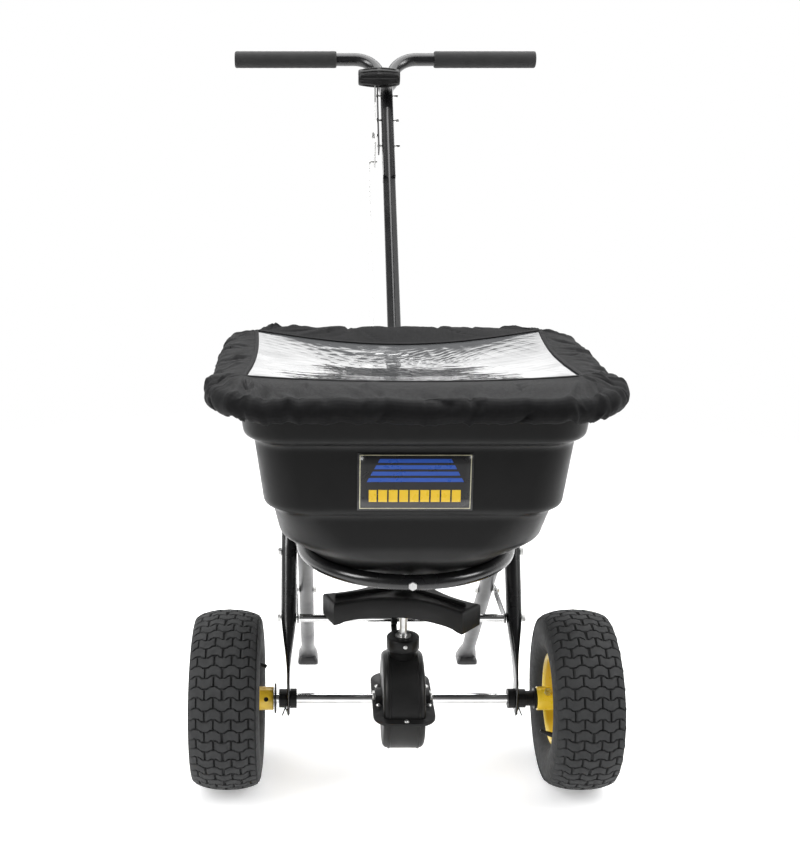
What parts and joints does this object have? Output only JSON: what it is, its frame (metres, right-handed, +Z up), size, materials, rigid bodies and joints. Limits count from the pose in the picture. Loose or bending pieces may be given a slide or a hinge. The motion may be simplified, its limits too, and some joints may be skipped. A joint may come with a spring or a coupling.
{
  "type": "push broadcast spreader",
  "caption": "Push broadcast spreader: covered black hopper on a bent tube frame, pneumatic tyres on yellow rims, axle-driven impeller and a T-handle with a shut-off lever.",
  "frame": {"origin": "middle of the object's outline on the ground, under the bounding box centre", "axes": "X along the axle, -Y forwards (the way it is pushed, away from the handle), +Z up"},
  "size_m": [0.658, 1.0766, 1.1529],
  "materials": {
    "gloss_black": "gloss powder coat",
    "satin_grey": "satin powder coat",
    "zinc": "zinc plated",
    "yellow_paint": "gloss yellow paint",
    "rubber": "matte rubber",
    "black_plastic": "satin",
    "case_plastic": "satin",
    "hopper_plastic": "textured",
    "foam": "soft foam",
    "cover_cloth": "woven nylon with a clear panel",
    "steel": "plain steel"
  },
  "bodies": {
    "chassis": {"main_frame": "gloss_black", "rear_leg_left": "satin_grey", "rear_leg_right": "satin_grey", "support_ring": "gloss_black", "cross_tie": "zinc", "brace_left": "gloss_black", "brace_right": "gloss_black", "frame_bolt_left": "zinc", "frame_bolt_right": "zinc", "leg_bolt_left": "zinc", "leg_bolt_right": "zinc", "ring_bolt_left": "zinc", "ring_bolt_right": "zinc", "tie_bolt_left": "zinc", "tie_bolt_right": "zinc", "ring_front_bolt": "zinc", "handle_tube_left": "gloss_black", "handle_tube_right": "gloss_black", "grip_left": "foam", "grip_right": "foam", "handle_post": "gloss_black", "post_saddle": "gloss_black", "saddle_bolt": "zinc", "handle_bolt_1": "zinc", "handle_bolt_2": "zinc", "handle_bolt_3": "zinc", "lever_bracket": "black_plastic", "lever_pivot_bolt": "zinc", "crank_bracket": "gloss_black", "outlet_plate": "black_plastic", "gate_guide_left": "black_plastic", "gate_guide_right": "black_plastic", "hopper": "hopper_plastic", "gear_case_upper": "case_plastic", "gear_case_lower": "case_plastic", "shaft_bush": "zinc", "torque_stay": "black_plastic", "axle_bearing_left": "black_plastic", "axle_bearing_right": "black_plastic"},
    "axle_set": {"axle": "steel", "drive_gear": "steel", "rim_right": "yellow_paint", "tyre_right": "rubber", "hub_bolt": "zinc", "thrust_washer": "black_plastic", "axle_spacer": "black_plastic", "wheel_collar_left": "zinc", "wheel_collar_right": "zinc"},
    "left_wheel": {"rim_left": "yellow_paint", "tyre_left": "rubber"},
    "spinner": {"impeller_shaft": "zinc", "pinion": "steel", "impeller": "black_plastic", "agitator": "steel"},
    "lever": {"control_lever": "zinc", "lever_knob": "black_plastic"},
    "rod": {"control_rod": "zinc"},
    "crank": {"bell_crank": "zinc"},
    "gate": {"shutoff_gate": "zinc"},
    "cover": {"hopper_cover": "cover_cloth"}
  },
  "joints": [
    {"name": "axle_spin", "type": "hinge", "parent": "chassis", "child": "axle_set", "pos_m": [0, -0.2763, 0.1397], "axis": [1, 0, 0], "continuous": true},
    {"name": "left_wheel_spin", "type": "hinge", "parent": "axle_set", "child": "left_wheel", "pos_m": [-0.275, -0.2763, 0.1397], "axis": [1, 0, 0], "continuous": true},
    {"name": "spinner_spin", "type": "hinge", "parent": "chassis", "child": "spinner", "pos_m": [0, -0.2763, 0.3165], "axis": [0, 0, 1], "continuous": true},
    {"name": "lever_swing", "type": "hinge", "parent": "chassis", "child": "lever", "pos_m": [-0.0236, 0.38428, 0.99148], "axis": [1, 0, 0], "range_deg": [0, 34.38]},
    {"name": "rod_slide", "type": "slide", "parent": "chassis", "child": "rod", "axis": [0, 0.6884, 0.7254], "range_m": [0, 0.03398]},
    {"name": "crank_swing", "type": "hinge", "parent": "chassis", "child": "crank", "pos_m": [-0.03, -0.1363, 0.4275], "axis": [1, 0, 0], "range_deg": [0, 42.02]},
    {"name": "gate_slide", "type": "slide", "parent": "chassis", "child": "gate", "axis": [0, 1, 0], "range_m": [0, 0.02832]},
    {"name": "cover_lift", "type": "slide", "parent": "chassis", "child": "cover", "axis": [0, 0, 1], "range_m": [0, 0.25]}
  ],
  "couplings": [
    {"joint": "spinner_spin", "follows": "axle_spin", "ratio": 4},
    {"joint": "rod_slide", "follows": "lever_swing", "m_per_rad": 0.056639},
    {"joint": "crank_swing", "follows": "lever_swing", "ratio": 1.2222},
    {"joint": "gate_slide", "follows": "lever_swing", "m_per_rad": 0.047199}
  ]
}
